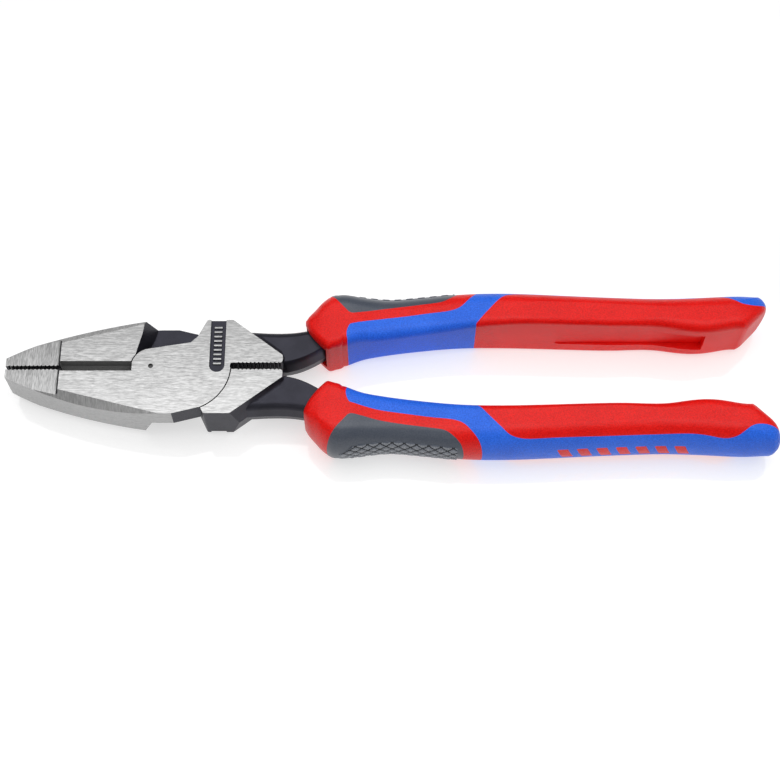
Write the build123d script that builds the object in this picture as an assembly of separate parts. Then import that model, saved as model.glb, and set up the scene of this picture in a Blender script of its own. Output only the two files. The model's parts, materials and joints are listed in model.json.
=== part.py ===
from build123d import *
import os
from math import cos, radians, sin, sqrt, tan

# Lineman pliers, 240 mm long, jaws closed.
#
# While the pieces are modelled, the rivet axis is Z through the origin, Z = 0 is the
# lap plane where the two forgings slide on each other, and the jaws point to -X.
# The front half holds the lower jaw (-Y) and the upper handle (+Y). The back half is
# the same forging turned over about X. place() moves each piece into the part's frame,
# whose origin is the middle of the bottom of the part's box.

# ---- driving dimensions, mm ----
overall_length = 240.0
jaw_reach = 45.4            # rivet axis to the jaw tips
head_half = 7.5             # half the ground thickness of the head
tang_half = 5.3             # half the thickness of the bare tangs
grip_half = 10.5            # half the thickness of the grips where they rest
waist_half = 8.6            # and at the thumb waist
end_half = 10.0             # and at the tail
draft_angle = 11.7          # forging draft of the black skirts and tangs
tang_edge_radius = 1.9      # rounding along the tang's edges
fold_radius = 1.2           # where the skirt runs down into the tang

lap_gap = 0.05              # between the two lap faces
running_gap = 0.35          # between curved edges that pass each other
rivet_radius = 4.0
rivet_head_radius = 4.7
rivet_head_depth = 1.6
rivet_running_fit = 0.04    # radial, rivet in the back half

jaw_gap = 0.55              # jaw face to the middle line, toothed zone
cutter_gap = 0.12           # cutting edge to the middle line
crimp_gap = 1.05            # behind the joint
tooth_pitch = 1.25
tooth_depth = 0.45

step_x = -28.2              # where the ground jaw face steps down
step_depth = 1.2
tip_depth = 1.5             # how far the toothed zone lies below the face at the tip
cutter_end_x = -5.85
cutter_mouth = 1.65         # half the width of the cutter's mouth
cutter_bevel_height = 4.0

hub_radius = 6.0
lap_centre_x = 9.5          # centre of the lap's round end
lap_end_radius = 15.3
shoulder_y = 16.0
shoulder_tip = (41.0, 3.6)  # where the shoulder's long slanted edge ends
shoulder_corner = (25.0, shoulder_y)
along_slope = (Vector(*shoulder_tip) - Vector(*shoulder_corner)).normalized()
outward_of_slope = Vector(-along_slope.Y, along_slope.X)
skirt_width = 1.62          # how far the skirt stands out at the lap plane

skin = 1.4                  # depth of the soft overmoulds
pocket_x = (127.3, 173.9)
pocket_half = 4.8
pocket_floor_y = 14.05

grip_end_x = overall_length - jaw_reach
collar_end_x = 61.6
body_start_x = 58.0


# ---- small helpers ----
def smooth(points, x):
    """The height at x of a smooth curve through points that ascend in x."""
    if x <= points[0][0]:
        return points[0][1]
    if x >= points[-1][0]:
        return points[-1][1]
    last = len(points) - 1
    i = max(k for k in range(last) if points[k][0] <= x)

    def slope(k):
        a = points[max(k - 1, 0)]
        b = points[min(k + 1, last)]
        return (b[1] - a[1]) / (b[0] - a[0])

    (x0, y0), (x1, y1) = points[i], points[i + 1]
    width = x1 - x0
    t = (x - x0) / width
    start = y0 * (1 + 2 * t) * (1 - t) ** 2 + slope(i) * width * t * (1 - t) ** 2
    end = y1 * t * t * (3 - 2 * t) + slope(i + 1) * width * t * t * (t - 1)
    return start + end


def prism(face, low, high):
    """A face drawn in plan, raised from low to high."""
    return extrude(Pos(0, 0, low) * face, high - low)


def closed(*edges):
    """The face inside a chain of edges."""
    return make_face(Curve() + list(edges))


def mirrored_in_z(solid):
    return solid + mirror(solid, Plane.XY)


def turned_over(solid):
    return solid.rotate(Axis.X, 180)


def place(solid, name):
    """Move a piece into the part's frame, name it and write it."""
    moved = Pos(jaw_reach - overall_length / 2, 0, grip_half) * solid
    moved.label = name
    export_step(moved, os.path.join("parts", name + ".step"))


# ---- the forged half ----
# Lower jaw outline, from the tip to the lap.
jaw_outline = [(-45.4, -3.2), (-42.5, -4.7), (-38, -6.8), (-32, -9.1), (-24, -11.7),
               (-14, -14.1), (-5, -15.55), (2.0, -16.1)]


def lap_end(radius):
    """The round end of a lap, as the disc that the other half's shoulder clears."""
    return Pos(lap_centre_x, 0) * Circle(radius)


def upper_layer():
    """Everything above the lap plane, in plan: jaw, hub, lap and shoulder."""
    corner = (16.0, -sqrt(lap_end_radius ** 2 - (16.0 - lap_centre_x) ** 2))
    lap_tip = (lap_centre_x + lap_end_radius, 0)
    bend = radians(-30)
    lap_middle = (lap_centre_x + lap_end_radius * cos(bend), lap_end_radius * sin(bend))
    hub_start = (-sqrt(hub_radius ** 2 - cutter_gap ** 2), -cutter_gap)
    hub_middle = (hub_radius * cos(radians(140)), hub_radius * sin(radians(140)))
    hub_end = (hub_radius * cos(radians(99)), hub_radius * sin(radians(99)))
    lap = closed(
        Spline(*jaw_outline),
        Line(jaw_outline[-1], (7.2, -16.1)),
        Line((7.2, -16.1), corner),
        ThreePointArc(corner, lap_middle, lap_tip),
        Polyline(lap_tip, (24.8, 8), (13.2, 8.3), hub_end),
        ThreePointArc(hub_end, hub_middle, hub_start),
        Polyline(hub_start, (step_x, -cutter_gap), (step_x, -jaw_gap), (-jaw_reach, -jaw_gap)),
        Line((-jaw_reach, -jaw_gap), jaw_outline[0]),
    )
    return lap + shoulder()


def shoulder():
    """The ground shoulder that becomes the handle, in plan."""
    edge = FilletPolyline((13.4, crimp_gap), (12.0, 8.05), (14.2, 10.2), (17.0, shoulder_y),
                          shoulder_corner, shoulder_tip, (shoulder_tip[0], crimp_gap),
                          radius=[0.3, 0.3, 1.6, 0.8, 0.2, 1.5, 1.1], close=True)
    return make_face(edge)


def jaw_back_cut():
    """Clears the lower jaw's lower layer for the other hub; its back wall leans forward."""
    room = hub_radius + running_gap

    def outline(z, wall, lean):
        start = (room * cos(radians(lean)), -room * sin(radians(lean)))
        middle = (room * cos(radians(165)), -room * sin(radians(165)))
        face = closed(
            Spline(*wall, start),
            ThreePointArc(start, middle, (-room, 0)),
            Polyline((-room, 0), (-room, 3), (60, 3), (60, -20), (wall[0][0], -20), wall[0]),
        )
        return Pos(0, 0, z) * face

    at_lap = outline(lap_gap / 2, [(0.4, -17.0), (-0.3, -12.5), (-2.0, -9.0)], 130)
    at_face = outline(-head_half - 0.1, [(-3.1, -17.0), (-3.1, -12.0), (-3.9, -8.5)], 140)
    return loft([at_lap, at_face], ruled=True)


def tang():
    """The steel tang inside the grip; its sides lean in from the lap plane."""
    outer = [(30.0, 14.2), (38, 13.8), (44, 14.0), (50, 15.1), (58, 17.9), (68, 20.2),
             (84, 21.6), (104, 22.8), (140, 22.0), (172, 21.6)]
    inner = [(172, 16.6), (140, 16.6), (104, 17.3), (84, 16.2), (68, 13.6), (58, 9.3),
             (52, 5.3), (45.0, 1.9), (41.5, 1.15)]
    bare_end_x = 60             # up to here the outer edges are fully rounded
    slight = 0.25               # share of the rounding that the other edges get
    round_start = tang_half - tang_edge_radius

    def outline(z):
        over = max(z - round_start, 0)
        rounding = tang_edge_radius - sqrt(tang_edge_radius ** 2 - over ** 2)

        lean = z * tan(radians(draft_angle))
        far = [(x, y - lean - rounding * (1.0 if x < bare_end_x else slight)) for x, y in outer]
        near = [(x, y + lean + rounding * slight) for x, y in inner]
        face = closed(Spline(*far), Line(far[-1], near[0]), Spline(*near),
                      Polyline(near[-1], (28, near[-1][1]), (28, far[0][1]), far[0]))
        return Pos(0, 0, z) * face

    turns = [0, 20, 40, 60, 75, 88]
    side = loft([outline(0), outline(round_start)], ruled=True)
    rounded = [outline(round_start + tang_edge_radius * sin(radians(turn))) for turn in turns]
    return mirrored_in_z(side + loft(rounded))


def skirt():
    """The black drafted flank behind the shoulder, widest at the lap plane."""
    stand_out = outward_of_slope * skirt_width
    run_up = along_slope * 8         # past the shoulder's corner, where level trims it
    top = Vector(*shoulder_corner) + stand_out - run_up
    tip = Vector(*shoulder_tip) + stand_out + along_slope * 0.6
    low = crimp_gap + 0.1
    face = make_face(Polyline((19, low), (19, top.Y), (top.X, top.Y), (tip.X, tip.Y), (tip.X, low),
                              close=True))
    solid = mirrored_in_z(extrude(face, head_half, taper=draft_angle))
    level = Pos(30, shoulder_y / 2, 0) * Box(60, shoulder_y, 2 * head_half)
    return solid & level


def fold():
    """The hollow fold where the skirt's slanted wall runs down into the tang."""
    lean = tan(radians(draft_angle))
    foot = Vector(*shoulder_corner) + outward_of_slope * (skirt_width - tang_half * lean)

    def profile(place, size):
        origin = foot + along_slope * place + Vector(0, 0, tang_half)
        low = -0.3 * size
        on_wall = (-lean * size, size)
        middle = size * (1 - sqrt(0.5))
        face = closed(ThreePointArc(on_wall, (middle, middle), (size, 0)),
                      Polyline((size, 0), (size, low), (2 * low, low), (2 * low, size), on_wall))
        return Plane(origin=origin, x_dir=outward_of_slope, z_dir=along_slope) * face

    faded = 0.1
    stations = [(7.6, faded), (10.0, fold_radius), (18.4, fold_radius), (20.0, faded)]
    return mirrored_in_z(loft([profile(*station) for station in stations], ruled=True))


def edge_bevel():
    """Takes off the long bevel along the outside of the lower jaw."""
    run = Vector(30.5, -7.9, 0).normalized()
    outward = Vector(run.Y, -run.X, 0)
    slope = radians(40)
    normal = outward * sin(slope) + Vector(0, 0, cos(slope))
    face = Plane(origin=(-28.0, -8.0, head_half), x_dir=run, z_dir=normal)
    return face * Pos(0, 0, 6) * Box(120, 60, 12)


def toothed_zone_recess():
    """Sets the toothed zone of the jaw below the ground face, with a rounded step."""
    high = head_half + 1
    edge = FilletPolyline((step_x, high), (step_x, head_half - step_depth),
                          (-jaw_reach - 2, head_half - tip_depth), (-jaw_reach - 2, high),
                          radius=[0.2, 0.9, 0.2, 0.2], close=True)
    return Plane.XZ * Pos(0, 0, -20) * extrude(make_face(edge), 40)


def cutter_cut():
    """The mouth and bevel of the wire cutter on the lower jaw."""
    profile = Plane(origin=(step_x, 0, 0), x_dir=(0, 1, 0), z_dir=(1, 0, 0))
    high = head_half + 1
    edge = Polyline((-cutter_gap, 0), (-cutter_mouth, cutter_bevel_height), (-cutter_mouth, high),
                    (1, high), (1, 0), close=True)
    return extrude(profile * make_face(edge), cutter_end_x - step_x)


def tooth_grooves(first_x, count, y, side):
    """V grooves across a gripping edge; side is +1 where the metal lies towards +Y."""
    half = tooth_pitch / 2
    grooves = []
    for i in range(count):
        x = first_x + i * tooth_pitch
        face = make_face(Polyline((x - half, y - side * 0.2), (x - half, y), (x, y + side * tooth_depth),
                                  (x + half, y), (x + half, y - side * 0.2), close=True))
        grooves.append(prism(face, -head_half - 1, head_half + 1))
    return grooves


def rivet_bore(clearance):
    """The bore and the countersink at the outer face."""
    radius = rivet_radius + clearance
    straight = Cylinder(radius, 4 * head_half)
    sink = Pos(0, 0, head_half - rivet_head_depth / 2) * Cone(
        radius, rivet_head_radius + clearance, rivet_head_depth)
    return straight + sink


def plate_recess():
    """The sunk panel on the shoulder, open at its outer edge, with plain ribs in it."""
    x = 20.55
    half = 2.4
    depth = 0.8
    end_y = 0.3
    recess = Pos(x, (end_y + 20) / 2) * Rectangle(2 * half, 20 - end_y)
    recess += Pos(x, end_y) * Circle(half)
    cut = prism(recess, head_half - depth, head_half + 1)
    ribs = []
    for i in range(9):
        rib = Pos(x, 1.0 + 1.55 * i, head_half - depth + 0.2) * Box(2.6, 0.7, 0.55)
        ribs.append(fillet(rib.edges().group_by(Axis.Z)[-1], 0.12))
    return cut, ribs


def forged_half(bore_clearance):
    """One forging, as the front half: lower jaw, hub in the upper layer, upper handle."""
    upper = prism(upper_layer(), lap_gap / 2, head_half)
    jaw = closed(Spline(*jaw_outline),
                 Polyline(jaw_outline[-1], (2.0, -cutter_gap), (step_x, -cutter_gap),
                          (step_x, -jaw_gap), (-jaw_reach, -jaw_gap), jaw_outline[0]))
    lower_jaw = prism(jaw, -head_half, lap_gap / 2) - jaw_back_cut()
    lower_shoulder = prism(shoulder() - lap_end(lap_end_radius + running_gap),
                           -head_half, lap_gap / 2)
    clear_of_lap = Pos(0, 0, -head_half - lap_gap / 2) * extrude(
        lap_end(lap_end_radius + running_gap), head_half + lap_gap)
    flank = skirt() + tang() + fold() - clear_of_lap
    half = upper + lower_jaw + lower_shoulder + flank
    half -= mirrored_in_z(edge_bevel())
    half -= mirrored_in_z(toothed_zone_recess())
    half -= mirrored_in_z(cutter_cut())
    half -= Pos(25.75, 0) * Cylinder(1.15, 4 * head_half)
    half -= tooth_grooves(27.3, 11, crimp_gap - 0.15, 1)
    half -= tooth_grooves(-44.2, 13, -jaw_gap + 0.15, -1)
    half -= rivet_bore(bore_clearance)
    cut, ribs = plate_recess()
    half = half - cut + ribs
    return half


def rivet():
    """A flush-ground rivet: shank, a countersunk head at each face, a dimple in one."""
    shank = Cylinder(rivet_radius, 2 * head_half)
    head = Pos(0, 0, head_half - rivet_head_depth / 2) * Cone(
        rivet_radius, rivet_head_radius, rivet_head_depth)
    dimple = Pos(0, 0, head_half) * Cylinder(0.7, 1.0)
    return shank + mirrored_in_z(head) - mirrored_in_z(dimple)


# ---- the grip on the upper handle ----
# Each line runs along the grip: the flat inner side, the rounded outer side, half the
# thickness, the radius of the inner edges and the depth of the rounded outer side.
inner_side = [(56, 7.1), (61.6, 7.6), (65, 8.7), (70, 9.4), (80, 10.8), (90, 12.15),
              (100, 13.3), (112, 13.9), (125, 13.75), (142, 13.25), (160, 13.0),
              (170, 11.5), (178, 12.0), (186, 12.9), (196, 13.4)]
outer_side = [(56, 26.3), (59, 26.7), (62, 26.55), (66, 25.95), (75, 25.3), (85, 26.2), (95, 27.2),
              (104, 27.45), (115, 27.15), (128, 26.5), (142, 25.8), (158, 25.3),
              (168, 25.5), (178, 26.1), (186, 26.3), (196, 26.3)]
half_thickness = [(56, 10.3), (60, 10.35), (62, 10.25), (66, 9.6), (72, waist_half),
                  (90, waist_half), (104, 9.7), (118, grip_half), (164, grip_half),
                  (176, 10.1), (186, end_half), (196, end_half)]
inner_radius = [(56, 3.4), (75, 3.4), (90, 2.9), (110, 2.1), (145, 2.1), (165, 2.9), (186, 3.0)]
outer_round = 6.4

# The flared collar in front of the grip's body; it is widest at collar_crest_x.
collar_crest_x = 55.4
collar_edge_radius = 2.6
# Behind the crest it sinks a little below the body's surface.
collar_inner = [(47.9, 14.4), (49.0, 11.9), (51.3, 8.8), (54.3, 5.9), (collar_crest_x, 5.5),
                (collar_end_x, 7.85)]
collar_outer = [(47.9, 16.9), (49.0, 19.2), (51.3, 22.2), (54.3, 25.2), (57, 26.6),
                (collar_end_x, 26.3)]
collar_half = [(47.9, 6.9), (49.0, 8.3), (51.3, 9.4), (54.3, 10.05), (57.0, 10.4),
               (collar_end_x, 10.0)]

# Where the colours meet, in plan. They run straight through the grip's thickness.
stripe_lower = [(61.9, 13.3), (65, 14.2), (70, 15.35), (80, 16.8), (88, 17.95), (93.6, 18.7),
                (96.6, 19.9), (99, 22.3), (101.8, 25.7), (103.1, 30.0)]
stripe_upper = [(63.0, 17.2), (66, 17.8), (70, 18.7), (80, 20.3), (88, 21.4), (91.2, 22.1),
                (93.6, 23.6), (96.2, 26.0), (97.4, 30.0)]
pad_front = [(53.9, 30.0), (54.2, 27.0), (56.0, 24.0), (58.4, 21.0), (60.9, 18.2)]
panel_edge = [(101.4, 14.0), (104.3, 17.3), (108.2, 21.6), (110.6, 23.7), (113.5, 24.6),
              (120, 24.65), (140, 23.8), (160, 23.1), (171, 23.5), (178.4, 24.1),
              (180.6, 23.5), (184.8, 20.9), (188.4, 20.3), (193.5, 21.4)]


def section(x, inner, outer, half, edge_radius, round_depth, inset):
    """The grip across X: flat inner side, flat faces, half an ellipse outside."""
    near = inner + inset
    far = outer - inset
    top = half - inset
    round_depth = min(round_depth - inset / 2, 0.55 * (far - near))
    edge_radius = min(edge_radius - inset / 2, 0.3 * (far - near))
    knee = edge_radius * (1 - sqrt(0.5))
    bulge = far - round_depth
    edges = [
        Line((near, edge_radius - top), (near, top - edge_radius)),
        ThreePointArc((near, top - edge_radius), (near + knee, top - knee), (near + edge_radius, top)),
        Line((near + edge_radius, top), (bulge, top)),
        EllipticalCenterArc((bulge, 0), round_depth, top, start_angle=-90, arc_size=180),
        Line((bulge, -top), (near + edge_radius, -top)),
        ThreePointArc((near + edge_radius, -top), (near + knee, knee - top), (near, edge_radius - top)),
    ]
    across = Plane(origin=(x, 0, 0), x_dir=(0, 1, 0), z_dir=(1, 0, 0))
    return across * make_face(Curve() + edges)


def collar_solid(inset):
    """The front of the collar swells to its crest; behind that it sinks into the body."""
    first = collar_inner[0][0] + inset

    stations = [first, first + 0.4, first + 1.1, 50.2 + inset, 52.2 + inset, 54.0, 55.0, 56.0,
                57.4, 59.4, collar_end_x]
    return loft([section(x, smooth(collar_inner, x), smooth(collar_outer, x),
                         smooth(collar_half, x), collar_edge_radius, outer_round, inset)
                 for x in stations])


def body_solid(inset):
    stations = [body_start_x, 62, 66, 70, 75, 81, 87, 93, 99, 106, 114, 124, 136, 148, 160,
                166, 172, 178, 186, grip_end_x + 1]
    sections = [section(x, smooth(inner_side, x), smooth(outer_side, x),
                        smooth(half_thickness, x), smooth(inner_radius, x),
                        outer_round, inset) for x in stations]
    return loft(sections)


def end_outline(inset):
    """What the grip's end keeps: a slanted end, a soft heel, a round corner and a round rim."""
    slant = radians(45.5)
    heel = (186.75, 13.15)        # where the slanted end starts on the inner side
    heel_radius = 3.2
    side_y = 26.0                 # the outer side at the end
    side_rise = 2.0               # how much the outer side opens out towards the jaws
    corner = 3.8
    rim = 4.0                     # radius of the rounding in thickness
    half = end_half - inset

    def outline(turn):
        """The outline at the height where the round outer side has turned this far."""
        z = half * sin(radians(turn))
        far = side_y - inset - (outer_round - inset / 2) * (1 - cos(radians(turn)))
        over = max(z - (half - rim), 0)
        pull = inset + rim - sqrt(rim ** 2 - over ** 2)

        def on_slant(y):
            return (heel[0] + (y - heel[1]) / tan(slant) - pull / sin(slant), y)

        edge = FilletPolyline((40, -4), (150, -4), (160, 8.5 + inset), on_slant(heel[1] + inset),
                              on_slant(far), (165, far + side_rise), (120, 34), (40, 34),
                              radius=[0.5, 0.5, 0.5, heel_radius - inset, corner - inset,
                                      0.5, 0.5, 0.5],
                              close=True)
        return Pos(0, 0, z) * make_face(edge)

    turns = [0, 12, 24, 36, 43, 50, 57, 64, 70, 76, 82, 86]
    stack = [outline(turn) for turn in turns]
    cap = extrude(stack[-1], grip_half - inset - half * sin(radians(turns[-1])))
    return mirrored_in_z(loft(stack, ruled=True) + cap)


def envelope(inset):
    """The whole grip, or what is left of it under a skin as thick as inset."""
    return (collar_solid(inset) + body_solid(inset)) & end_outline(inset)


def pocket():
    """The shallow hang-tag pocket on the inner side."""
    low, high = pocket_x
    face = RectangleRounded(high - low + 2, 2 * pocket_half, 1.6)
    side = Plane(origin=(0, pocket_floor_y, 0), x_dir=(1, 0, 0), z_dir=(0, 1, 0))
    solid = extrude(side * Pos((low + high) / 2, 0) * face, -8)
    return solid & Pos((low + high) / 2, 0, 0) * Box(high - low, 60, 60)


def slanted_bars():
    """Seven plain slanted windows through the overmould on the outer side."""
    side = Plane(origin=(0, 21, 0), x_dir=(1, 0, 0), z_dir=(0, -1, 0))
    bars = []
    for i in range(7):
        x = 125.5 + 6.0 * i
        edge = FilletPolyline((x, -2.9), (x + 3.4, -2.9), (x + 5.6, 2.9), (x + 2.2, 2.9),
                              radius=0.35, close=True)
        bars.append(extrude(side * make_face(edge), -10))
    return bars


def overmould_region():
    """The soft blue zone: inner side, a band across the faces, the outer side and the tail."""
    face = closed(
        Line((collar_end_x, 0), (collar_end_x - 0.6, 8.5)),
        ThreePointArc((collar_end_x - 0.6, 8.5), (collar_end_x - 0.7, 11), stripe_lower[0]),
        Spline(*stripe_lower),
        Polyline(stripe_lower[-1], (200, 30), (200, 23.5), panel_edge[-1]),
        Spline(*panel_edge[::-1]),
        Polyline(panel_edge[0], (101.4, 0), (collar_end_x, 0)),
    )
    return prism(face, -20, 20) - slanted_bars()


def pad_region():
    """The soft grey thumb pad on the outer side of the waist."""
    face = closed(
        Spline(*pad_front),
        ThreePointArc(pad_front[-1], (61.7, 17.45), stripe_upper[0]),
        Spline(*stripe_upper),
        Line(stripe_upper[-1], pad_front[0]),
    )
    return prism(face, -20, 20)


def tang_entry():
    """The mouth of the collar, a little larger than the tang and 1.6 mm deep."""
    around = make_face(Polyline((40, 0.6), (46, 1.6), (52, 4.4), (58, 8.5), (58, 18.7),
                                (50, 16.0), (40, 14.3), close=True))
    front = make_face(Polyline((40, 20), (49.5, 20), (49.5, 14.6), (55.4, 7.4), (58.5, 4),
                               (40, 0), close=True))
    return prism(around & front, -tang_half - 0.9, tang_half + 0.9)


def grip():
    """The three pieces of the grip on the front half's handle."""
    whole = envelope(0) - pocket()
    core = envelope(skin)
    blue = overmould_region() - core
    grey = pad_region() - core
    sleeve = whole - blue - grey - tang() - tang_entry()
    return sleeve, whole & blue, whole & grey


os.makedirs("parts", exist_ok=True)
front_half = forged_half(0)
back_half = turned_over(forged_half(rivet_running_fit))
sleeve, overmould, thumb_pad = grip()

pieces = {
    "front_half": front_half,
    "back_half": back_half,
    "pivot_rivet": rivet(),
    "front_grip_sleeve": sleeve,
    "front_grip_overmould": overmould,
    "front_thumb_pad": thumb_pad,
    "back_grip_sleeve": turned_over(sleeve),
    "back_grip_overmould": turned_over(overmould),
    "back_thumb_pad": turned_over(thumb_pad),
}
for name, solid in pieces.items():
    place(solid, name)
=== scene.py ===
import json
from math import radians

import bmesh
import bpy
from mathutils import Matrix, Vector
from mathutils.bvhtree import BVHTree


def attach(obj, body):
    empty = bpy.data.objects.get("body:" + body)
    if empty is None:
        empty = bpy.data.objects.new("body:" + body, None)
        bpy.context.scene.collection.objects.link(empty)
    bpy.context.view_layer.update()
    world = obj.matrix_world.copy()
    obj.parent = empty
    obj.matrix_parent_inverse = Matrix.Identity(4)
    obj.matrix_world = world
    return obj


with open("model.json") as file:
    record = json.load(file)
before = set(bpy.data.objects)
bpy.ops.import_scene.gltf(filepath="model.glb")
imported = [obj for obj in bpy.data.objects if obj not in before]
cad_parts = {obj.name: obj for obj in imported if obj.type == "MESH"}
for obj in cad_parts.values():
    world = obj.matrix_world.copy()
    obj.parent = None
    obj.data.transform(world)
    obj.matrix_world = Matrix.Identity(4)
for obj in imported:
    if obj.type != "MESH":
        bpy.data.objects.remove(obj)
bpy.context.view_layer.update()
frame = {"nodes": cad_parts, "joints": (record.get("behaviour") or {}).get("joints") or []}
nodes = frame["nodes"]

MM = 0.001
PIVOT = Vector(frame["joints"][0]["pos_m"])      # on the rivet axis, at the lap plane
ARMS = {"front": -1, "back": 1}                  # the side of Y that each arm's jaw lies on


# ---- materials ----
class Shader:
    """A material with one Principled shader, and short ways to add nodes to it."""

    def __init__(self, name, **sockets):
        self.material = bpy.data.materials.new(name)
        self.material.use_nodes = True
        self.tree = self.material.node_tree
        self.surface = self.tree.nodes["Principled BSDF"]
        for socket, value in sockets.items():
            self.surface.inputs[socket.replace("_", " ")].default_value = value

    def node(self, kind, inputs=None, **settings):
        made = self.tree.nodes.new(kind)
        for key, value in settings.items():
            setattr(made, key, value)
        for key, value in (inputs or {}).items():
            if isinstance(value, bpy.types.NodeSocket):
                self.tree.links.new(value, made.inputs[key])
            else:
                made.inputs[key].default_value = value
        return made

    def place(self, scale, shift=(0, 0, 0)):
        """Object coordinates in metres, times scale, plus shift."""
        where = self.node("ShaderNodeTexCoord").outputs["Object"]
        return self.node("ShaderNodeMapping", {"Vector": where, "Scale": scale,
                                               "Location": shift}).outputs["Vector"]

    def noise(self, scale, detail=2.0, roughness=0.5):
        """Noise with scale features per metre along X, Y and Z."""
        return self.node("ShaderNodeTexNoise", {"Vector": self.place(scale), "Scale": 1.0,
                                                "Detail": detail,
                                                "Roughness": roughness}).outputs["Fac"]

    def remap(self, value, low, high, to_low, to_high):
        return self.node("ShaderNodeMapRange", {"Value": value, "From Min": low, "From Max": high,
                                                "To Min": to_low, "To Max": to_high}).outputs["Result"]

    def maths(self, operation, a, b=0.0):
        return self.node("ShaderNodeMath", {0: a, 1: b}, operation=operation).outputs["Value"]

    def blend(self, factor, first, second):
        made = self.node("ShaderNodeMix", data_type="RGBA")
        for key, value in (("Factor", factor), ("A", first), ("B", second)):
            socket = next(s for s in made.inputs if s.name == key and s.enabled)
            if isinstance(value, bpy.types.NodeSocket):
                self.tree.links.new(value, socket)
            else:
                socket.default_value = value
        return next(s for s in made.outputs if s.enabled)

    def bump(self, height, depth, strength):
        made = self.node("ShaderNodeBump", {"Height": height, "Distance": depth,
                                            "Strength": strength})
        self.tree.links.new(made.outputs["Normal"], self.surface.inputs["Normal"])

    def drive(self, socket, value):
        self.tree.links.new(value, self.surface.inputs[socket])


def grey(level):
    return (level, level, level, 1)


ALONG = (420, 4200, 4200)      # streaks per metre where the belt ran along the jaws
ACROSS = (4200, 340, 340)      # and where it ran across them
FAR_Y, NEAR_Y = 14, -16        # mm; painted light: the steel's tone rises from the far jaw to the near one, in place of the top light's reflection falling off
STEP_X = -28.2                 # mm from the rivet axis; the toothed zone lies before it
RIVET_RIM = (4.25, 4.6)        # mm; the turned rim's radii
DIMPLE_RIM = (0.75, 0.85)      # mm; where the centre dimple ends
FACE_TONES = (grey(0.27), grey(0.51))


def streak_noise(made, streaks):
    """Fine streaks, longer along one axis than across it."""
    coarse = made.noise([0.6 * s for s in streaks], detail=3.0, roughness=0.7)
    fine = made.noise([1.7 * s for s in streaks])
    return made.maths("ADD", made.maths("MULTIPLY", coarse, 0.5), made.maths("MULTIPLY", fine, 0.5))


def metal(name, streaks):
    """Steel ground with a belt: its shader, the tone of each point, with painted light rising from the
    far jaw to the near one, and the coordinates.
    """
    made = Shader(name, Metallic=1.0)
    streak = streak_noise(made, streaks)
    where = made.node("ShaderNodeSeparateXYZ", {"Vector": made.place((1, 1, 1))})
    # painted light: the tone falls off towards the far jaw, standing in for the top light's reflection
    slow = made.remap(where.outputs["Y"], FAR_Y * MM, NEAR_Y * MM, -0.38, 0.26)
    tone = made.maths("ADD", made.remap(streak, 0.38, 0.62, 0.05, 0.85), slow)
    made.drive("Roughness", made.remap(streak, 0.3, 0.7, 0.46, 0.3))
    made.bump(streak, 0.03 * MM, 0.6)
    return made, tone, where


def ground_steel(name, streaks, dark, light, step_shade=False):
    """Ground steel between two tones, with a painted shadow at the foot of the step if asked."""
    made, tone, where = metal(name, streaks)
    if step_shade:
        # painted shadow: the zone is darkened towards the foot of the step, fading out over about a
        # millimetre, in place of the shade in the concave step
        foot = PIVOT.x + STEP_X * MM
        painted_step_shadow = made.remap(where.outputs["X"], foot - 1.3 * MM, foot - 0.3 * MM, 0.0, 0.7)
        tone = made.maths("SUBTRACT", tone, painted_step_shadow)
    made.drive("Base Color", made.blend(tone, dark, light))
    return made.material


def rivet_steel():
    """The rivet's ground end: the same streaks as the head, with a faint turned rim."""
    made, tone, _ = metal("rivet_steel", ALONG)
    centred = made.place((1 / MM, 1 / MM, 0), (-PIVOT.x / MM, -PIVOT.y / MM, 0))
    radius = made.node("ShaderNodeVectorMath", {0: centred}, operation="LENGTH").outputs["Value"]
    dots = made.noise((2600, 2600, 2600), detail=1.0)
    rim = made.maths("MULTIPLY", made.remap(radius, *RIVET_RIM, 0.0, 1.0),
                     made.remap(dots, 0.4, 0.6, 0.0, 1.0))
    dimple = made.remap(radius, *DIMPLE_RIM, 1.0, 0.0)
    rimmed = made.blend(made.maths("MULTIPLY", rim, 0.35), made.blend(tone, *FACE_TONES), grey(0.22))
    made.drive("Base Color", made.blend(dimple, rimmed, grey(0.06)))
    return made.material


def black_forging():
    """Forged steel with a black oxide finish: a fine grain and slow changes of tone."""
    made = Shader("black_forging", Metallic=0.0, IOR=1.45, Specular_Tint=(0.80, 0.80, 1.0, 1))
    grain = made.noise((5200, 5200, 5200))
    cloud = made.noise((180, 180, 180), detail=3.0)
    made.drive("Base Color", made.blend(made.remap(cloud, 0.35, 0.7, 0.0, 1.0),
                                        (0.010, 0.010, 0.013, 1), (0.022, 0.022, 0.029, 1)))
    made.drive("Roughness", made.remap(grain, 0.3, 0.7, 0.36, 0.5))
    made.bump(grain, 0.03 * MM, 0.6)
    return made.material


def moulded(name, deep, light, roughness, grain_depth, ior=1.34):
    """A dull grained surface: moulded plastic or elastomer, or the cutter's walls, whose lighter grey
    is painted light.
    """
    made = Shader(name, Metallic=0.0, IOR=ior)
    grain = made.noise((2300, 2300, 2300), detail=3.0, roughness=0.65)
    cloud = made.noise((90, 90, 90))
    speckle = made.maths("ADD", made.maths("MULTIPLY", grain, 0.8), made.maths("MULTIPLY", cloud, 0.2))
    made.drive("Base Color", made.blend(made.remap(speckle, 0.38, 0.62, 0.0, 1.0), deep, light))
    made.drive("Roughness", made.remap(grain, 0.3, 0.7, roughness - 0.06, roughness + 0.08))
    made.bump(grain, grain_depth, 0.8)
    return made.material


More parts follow.
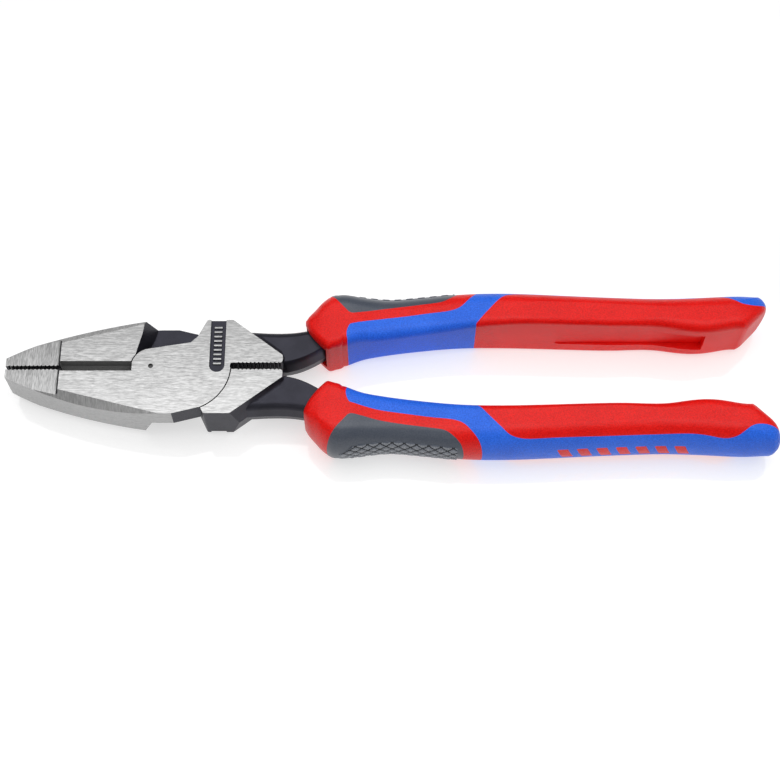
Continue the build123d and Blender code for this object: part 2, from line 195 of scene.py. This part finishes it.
finishes = {
    "face": ground_steel("ground_face", ALONG, *FACE_TONES),
    "zone": ground_steel("ground_zone", ACROSS, grey(0.20), grey(0.45), step_shade=True),
    # painted shade: the outer sides are the faces' belt-ground steel, given a tone range of their own
    # for how they are lit
    "side": ground_steel("ground_side_shaded_copy", ALONG, grey(0.30), grey(0.44)),
    "bevel": ground_steel("ground_bevel", ACROSS, grey(0.31), grey(0.56)),
    # painted light: the walls in the cutter's mouth, black forging in the mouth's shade, are painted a
    # lighter grey as if lit
    "cutter": moulded("cutter_walls_painted_light", grey(0.21), grey(0.29), 0.5, 0.01 * MM),
    "black": black_forging(),
}
rivet_finish = rivet_steel()
red = moulded("red_plastic", (0.74, 0.003, 0.002, 1), (1.0, 0.010, 0.006, 1), 0.35, 0.16 * MM)
blue = moulded("blue_elastomer", (0.016, 0.125, 0.76, 1), (0.034, 0.195, 1.0, 1), 0.42, 0.16 * MM)
dark_grey = moulded("grey_elastomer", (0.070, 0.082, 0.108, 1), (0.094, 0.108, 0.138, 1), 0.34,
                    0.05 * MM, ior=1.45)
# painted highlight: the scales are the pad's grey elastomer painted lighter; their lower roughness
# adds a real highlight too
scale_grey_painted_highlight = moulded("scale_elastomer_painted_highlight", (0.18, 0.195, 0.225, 1), (0.25, 0.265, 0.30, 1), 0.26,
                     0.02 * MM, ior=1.6)
# painted shade: the grooves between the scales are painted near black
groove_grey_painted_shade = moulded("groove_elastomer_painted_shade", (0.022, 0.025, 0.031, 1), (0.033, 0.037, 0.044, 1), 0.5,
                      0.02 * MM)


def dress(piece, *materials):
    piece.data.materials.clear()
    for material in materials:
        piece.data.materials.append(material)


# ---- the two forged halves: which faces are ground bright, and which way ----
# all in mm from the rivet axis and the lap plane
GROUND_LEVEL = 7.1        # the head's ground faces lie beyond this height
ZONE_LEVEL = 5.5          # and the toothed zone beyond this
ZONE_END = STEP_X + 0.9
BRIGHT_SIDE_END = 7.4     # the outer side of the jaw is ground up to here
TIP_X = -43.0
CUTTER_X = (STEP_X, -5.8)
CUTTER_Y = 1.75


def finish_of(centre, normal, side):
    """The finish of a face of a forged half, from where it is and which way it points."""
    lean = abs(normal.z)
    outward = side * normal.y > 0.3 and side * centre.y > 1.0
    if lean > 0.95 and abs(centre.z) > GROUND_LEVEL:
        return "face"
    if lean > 0.9 and abs(centre.z) > ZONE_LEVEL and centre.x < ZONE_END:
        return "zone"
    if outward and centre.x < BRIGHT_SIDE_END:
        return "bevel" if lean > 0.5 else "side"
    if centre.x < TIP_X and normal.x < -0.5:
        return "side"
    # the walls of the cutter's mouth take the painted light
    if abs(centre.y) < CUTTER_Y and CUTTER_X[0] < centre.x < CUTTER_X[1] and lean < 0.6:
        return "cutter"
    return "black"


order = list(finishes)
for arm, side in ARMS.items():
    half = nodes[arm + "_half"]
    dress(half, *finishes.values())
    for face in half.data.polygons:
        finish = finish_of((face.center - PIVOT) / MM, face.normal, side)
        face.material_index = order.index(finish)

dress(nodes["pivot_rivet"], rivet_finish)
for arm in ARMS:
    dress(nodes[arm + "_grip_sleeve"], red)
    dress(nodes[arm + "_grip_overmould"], blue)
    dress(nodes[arm + "_thumb_pad"], dark_grey)


# ---- the scales on the outer side of the thumb pads, in mm ----
SCALE_LENGTH = 3.75        # along the grip
SCALE_WIDTH = 2.8          # round it; rows are half of this apart
SCALE_SLOPE = 0.6          # how much of a scale, from its edge, is slope
SCALE_RISE = 0.36
GROOVE_LEVEL = 0.03        # the grooves between the scales, above the pad's surface
SUNK = -0.10               # and the patch's rim, under it
RIM_WIDTH = 0.7
PATCH_X = (58.0, 95.4)     # from the rivet axis
PATCH_HALF = 5.0           # either side of the lap plane
PATCH_SLANT = 1.0          # how much later the patch starts per mm away from the middle
OUTSIDE = 40.0             # from the rivet axis, well outside the grips
GRID = 0.15
RIM_SUM = 3.2              # a grid face whose corners' edge values add up to less is rim
GROOVE_SUM = 1.3           # one whose corner heights add up to less is groove
LENS_POWER = 1.2           # 1 makes diamonds, more makes lenses with round tops


def smoothstep(t):
    t = min(max(t, 0.0), 1.0)
    return t * t * (3 - 2 * t)


def scale_height(x, z):
    """0 in the grooves, 1 on top of a scale; the rows are staggered by half a scale."""
    best = 0.0
    row = SCALE_WIDTH / 2
    for j in (int(z // row), int(z // row) + 1):
        shift = SCALE_LENGTH / 2 * (j % 2)
        along = (x - shift) / SCALE_LENGTH
        dx = abs(along - round(along)) * 2
        dz = abs(z - j * row) / row
        best = max(best, 1 - dx ** LENS_POWER - dz)
    return smoothstep(best / SCALE_SLOPE)


def scaled_patch(arm, side):
    """A fine grid dropped onto the pad's outer side and raised into scales."""
    pad = nodes[arm + "_thumb_pad"]
    tree = BVHTree.FromPolygons([vertex.co for vertex in pad.data.vertices],
                                [face.vertices for face in pad.data.polygons])
    columns = round((PATCH_X[1] - PATCH_X[0]) / GRID)
    rows = round(2 * PATCH_HALF / GRID)
    build = bmesh.new()
    grid = {}
    edges = {}
    heights = {}
    for i in range(columns + 1):
        for j in range(rows + 1):
            x = PATCH_X[0] + i * GRID
            z = -PATCH_HALF + j * GRID
            start = PIVOT + Vector((x, -side * OUTSIDE, z)) * MM
            hit, normal, _, _ = tree.ray_cast(start, Vector((0, side, 0)))
            inside = min(x - PATCH_X[0] - PATCH_SLANT * abs(z), PATCH_X[1] - x, PATCH_HALF - abs(z))
            if hit is None or inside < -GRID:
                continue
            edges[i, j] = smoothstep(inside / RIM_WIDTH)
            heights[i, j] = scale_height(x, z) * edges[i, j]
            rise = SUNK + (GROOVE_LEVEL - SUNK) * edges[i, j] + SCALE_RISE * heights[i, j]
            grid[i, j] = build.verts.new(hit + normal * rise * MM)
    for i, j in grid:
        corners = [(i, j), (i + 1, j), (i + 1, j + 1), (i, j + 1)]
        if all(corner in grid for corner in corners):
            face = build.faces.new([grid[corner] for corner in corners])
            face.smooth = True
            if sum(edges[corner] for corner in corners) < RIM_SUM:
                face.material_index = 2
            # the grooves take the painted shade, the scales the painted highlight
            elif sum(heights[corner] for corner in corners) < GROOVE_SUM:
                face.material_index = 1
    bmesh.ops.recalc_face_normals(build, faces=build.faces)
    mesh = bpy.data.meshes.new(arm + "_scales")
    patch = bpy.data.objects.new(arm + "_scales", mesh)
    bpy.context.scene.collection.objects.link(patch)
    # the slots come first, because clearing them would reset the faces' choice of slot
    dress(patch, scale_grey_painted_highlight, groove_grey_painted_shade, dark_grey)
    build.to_mesh(mesh)
    build.free()
    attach(patch, arm + "_arm")


for arm, side in ARMS.items():
    scaled_patch(arm, side)


# ---- the stage ----
WALL_RADIUS = 2.4
WALL_HEIGHT = 3.0


def floor_material():
    return Shader("white_table", IOR=1.52, Roughness=0.04, Base_Color=grey(0.5),
                  Emission_Color=grey(1.0), Emission_Strength=0.60).material


def table():
    build = bmesh.new()
    bmesh.ops.create_grid(build, x_segments=4, y_segments=4, size=2.5)
    mesh = bpy.data.meshes.new("table")
    build.to_mesh(mesh)
    build.free()
    top = bpy.data.objects.new("table", mesh)
    bpy.context.scene.collection.objects.link(top)
    dress(top, floor_material())


def backdrop():
    """A pale wall round the table. Only the camera sees it, so it lights nothing."""
    build = bmesh.new()
    bmesh.ops.create_circle(build, segments=64, radius=WALL_RADIUS)
    for edge in bmesh.ops.extrude_edge_only(build, edges=build.edges[:])["geom"]:
        if isinstance(edge, bmesh.types.BMVert):
            edge.co.z += WALL_HEIGHT
    mesh = bpy.data.meshes.new("backdrop")
    build.to_mesh(mesh)
    build.free()
    wall = bpy.data.objects.new("backdrop", mesh)
    bpy.context.scene.collection.objects.link(wall)
    pale = Shader("pale_wall", Roughness=1.0, Base_Color=grey(0.0), Emission_Color=grey(1.0),
                  Emission_Strength=0.93)
    dress(wall, pale.material)
    for ray in ("diffuse", "glossy", "transmission", "volume_scatter", "shadow"):
        setattr(wall, "visible_" + ray, False)


def softbox(name, place, aim, width, depth, power):
    light = bpy.data.lights.new(name, "AREA")
    light.shape = "RECTANGLE"
    light.size = width
    light.size_y = depth
    light.energy = power
    lamp = bpy.data.objects.new(name, light)
    bpy.context.scene.collection.objects.link(lamp)
    lamp.location = place
    lamp.rotation_euler = (Vector(aim) - Vector(place)).to_track_quat("-Z", "Y").to_euler()
    lamp.visible_camera = False


table()
backdrop()
softbox("top_softbox", (0.06, 0.08, 0.80), (0.03, 0, 0), 1.3, 0.84, 7.4)
softbox("front_softbox", (-0.38, -0.80, 0.58), (-0.09, 0, 0), 0.36, 0.30, 0.60)

scene = bpy.context.scene
scene.world = bpy.data.worlds.new("studio")
scene.world.use_nodes = True
background = scene.world.node_tree.nodes["Background"]
background.inputs["Color"].default_value = (1, 1, 1, 1)
background.inputs["Strength"].default_value = 0.13
scene.view_settings.view_transform = "Standard"
scene.view_settings.look = "None"

camera = bpy.data.cameras.new("camera")
camera.lens = 72
camera.sensor_width = 36
camera.clip_start = 0.01
# above the near side of the tool, looking down and a little away
viewpoint = bpy.data.objects.new("camera", camera)
scene.collection.objects.link(viewpoint)
viewpoint.location = (-0.00024, -0.20771, 0.45564)
viewpoint.rotation_euler = (radians(24.5), 0, 0)
scene.camera = viewpoint
